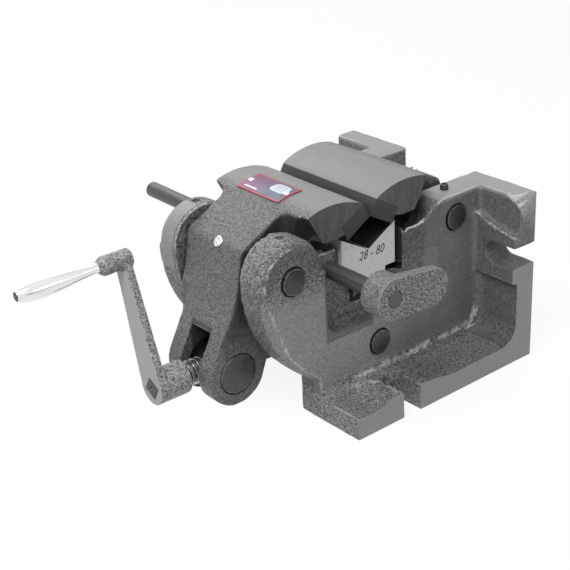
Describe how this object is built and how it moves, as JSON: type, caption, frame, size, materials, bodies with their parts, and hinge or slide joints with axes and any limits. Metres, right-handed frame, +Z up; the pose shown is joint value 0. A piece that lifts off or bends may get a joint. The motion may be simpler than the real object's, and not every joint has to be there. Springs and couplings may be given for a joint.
{
  "type": "self-centering shaft vise",
  "caption": "Cast self-centering vise: two rocking jaws close over a V block, driven by a crank and a screw with two thread hands.",
  "frame": {"origin": "under the V, on the plane of the base bottom, midway between front and rear", "axes": "+X to the machined side flange, +Y along the clamped shaft toward the rear, +Z up from the base bottom"},
  "size_m": [0.3559, 0.2776, 0.1535],
  "materials": {
    "base_paint": "hammertone",
    "jaw_paint": "hammertone",
    "crank_paint": "rough cast, painted",
    "dark_steel": "oiled, dark",
    "plate_steel": "hardened, ground",
    "thread_steel": "turned, oiled",
    "ground_steel": "ground bright",
    "polished": "polished",
    "name_enamel": "printed aluminium sheet",
    "rivet_metal": "bright",
    "oiler_metal": "plated"
  },
  "bodies": {
    "base": {"base_casting": "base_paint", "left_pivot_pin": "dark_steel", "right_pivot_pin": "dark_steel", "centre_pins": "dark_steel", "left_lug_screws": "dark_steel", "right_lug_screws": "dark_steel", "rod_lock_screw": "dark_steel"},
    "left_rocker": {"left_jaw": "jaw_paint", "left_jaw_plate": "plate_steel", "left_plate_screws": "dark_steel", "nameplate": "name_enamel", "nameplate_rivets": "rivet_metal", "left_oiler": "oiler_metal"},
    "right_rocker": {"right_jaw": "jaw_paint", "right_jaw_plate": "plate_steel", "right_plate_screws": "dark_steel", "right_oiler": "oiler_metal"},
    "left_swivel": {"left_trunnion": "dark_steel"},
    "right_swivel": {"right_trunnion": "dark_steel"},
    "carriage": {"centre_block": "plate_steel"},
    "screw": {"lead_screw": "thread_steel", "thrust_collars": "dark_steel", "collar_pins": "dark_steel", "crank_arm": "crank_paint", "handle_stud": "dark_steel"},
    "handle": {"crank_handle": "polished"},
    "rod": {"stop_rod": "dark_steel"},
    "stop": {"stop_arm": "base_paint", "stop_arm_screw": "dark_steel"},
    "block": {"v_block": "ground_steel"}
  },
  "joints": [
    {"name": "left_jaw_swing", "type": "hinge", "parent": "base", "child": "left_rocker", "pos_m": [-0.076, 0, 0.1128], "axis": [0, -1, 0], "range_deg": [0, 42.6]},
    {"name": "right_jaw_swing", "type": "hinge", "parent": "base", "child": "right_rocker", "pos_m": [0.076, 0, 0.1128], "axis": [0, 1, 0], "range_deg": [0, 42.6]},
    {"name": "left_trunnion_swivel", "type": "hinge", "parent": "left_rocker", "child": "left_swivel", "pos_m": [-0.1013, 0, 0.0405], "axis": [0, 1, 0], "range_deg": [0, 42.6]},
    {"name": "right_trunnion_swivel", "type": "hinge", "parent": "right_rocker", "child": "right_swivel", "pos_m": [0.1013, 0, 0.0405], "axis": [0, -1, 0], "range_deg": [0, 42.6]},
    {"name": "carriage_float", "type": "slide", "parent": "left_swivel", "child": "carriage", "axis": [-1, 0, 0], "range_m": [0, 0.0556]},
    {"name": "screw_turn", "type": "hinge", "parent": "carriage", "child": "screw", "pos_m": [0, 0, 0.0405], "axis": [-1, 0, 0], "range_deg": [0, 4994]},
    {"name": "handle_spin", "type": "hinge", "parent": "screw", "child": "handle", "pos_m": [-0.2, 0.02511, 0.12693], "axis": [1, 0, 0], "continuous": true},
    {"name": "rod_slide", "type": "slide", "parent": "base", "child": "rod", "axis": [0, 1, 0], "range_m": [-0.1, 0.03]},
    {"name": "stop_swing", "type": "hinge", "parent": "rod", "child": "stop", "pos_m": [-0.034, -0.101, 0.1035], "axis": [0, 1, 0], "continuous": true},
    {"name": "block_slide", "type": "slide", "parent": "base", "child": "block", "axis": [0, 1, 0], "range_m": [0, 0.08]}
  ],
  "couplings": [
    {"joint": "left_jaw_swing", "follows": "screw_turn", "ratio": 0.00851},
    {"joint": "right_jaw_swing", "follows": "screw_turn", "ratio": 0.00851},
    {"joint": "left_trunnion_swivel", "follows": "screw_turn", "ratio": 0.00851},
    {"joint": "right_trunnion_swivel", "follows": "screw_turn", "ratio": 0.00851},
    {"joint": "carriage_float", "follows": "screw_turn", "m_per_rad": 0.00063662}
  ]
}
